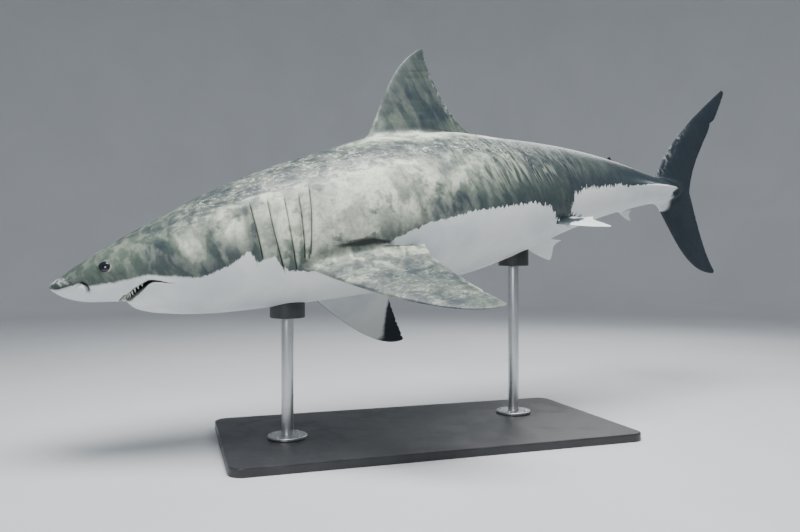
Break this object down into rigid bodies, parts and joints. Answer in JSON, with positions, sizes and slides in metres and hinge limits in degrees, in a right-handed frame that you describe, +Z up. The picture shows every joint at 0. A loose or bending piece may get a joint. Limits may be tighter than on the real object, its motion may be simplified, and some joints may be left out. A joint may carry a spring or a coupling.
{
  "type": "great white shark",
  "caption": "Life-size great white shark model gliding nose-down with its tail swung to one side, held on a flat display stand by upright rods.",
  "frame": {"origin": "on the floor, under the centre of the overall bounding box", "axes": "-X towards the snout, +X towards the tail, -Y towards the left flank, +Z up"},
  "size_m": [3.9766, 1.4966, 1.9534],
  "materials": {
    "shark_skin": "slate-grey cast skin, satin",
    "shark_belly": "white cast skin, satin",
    "shark_eye": "black, high gloss",
    "stand_paint": "black powder coat, satin",
    "stand_steel": "brushed stainless steel"
  },
  "bodies": {
    "root": {"head": "shark_skin", "lower_jaw": "shark_belly", "gill_region": "shark_skin", "trunk": "shark_skin", "tail_stock": "shark_skin", "caudal_fin_upper": "shark_skin", "caudal_fin_lower": "shark_skin", "dorsal_fin_first": "shark_skin", "dorsal_fin_second": "shark_skin", "anal_fin": "shark_belly", "pectoral_fin_left": "shark_skin", "pectoral_fin_right": "shark_skin", "pelvic_fin_left": "shark_skin", "pelvic_fin_right": "shark_skin", "eye_left": "shark_eye", "eye_right": "shark_eye", "stand_base": "stand_paint", "stand_flange_front": "stand_steel", "stand_flange_rear": "stand_steel", "stand_rod_front": "stand_steel", "stand_rod_rear": "stand_steel", "stand_saddle_front": "stand_paint", "stand_saddle_rear": "stand_paint"}
  },
  "joints": []
}
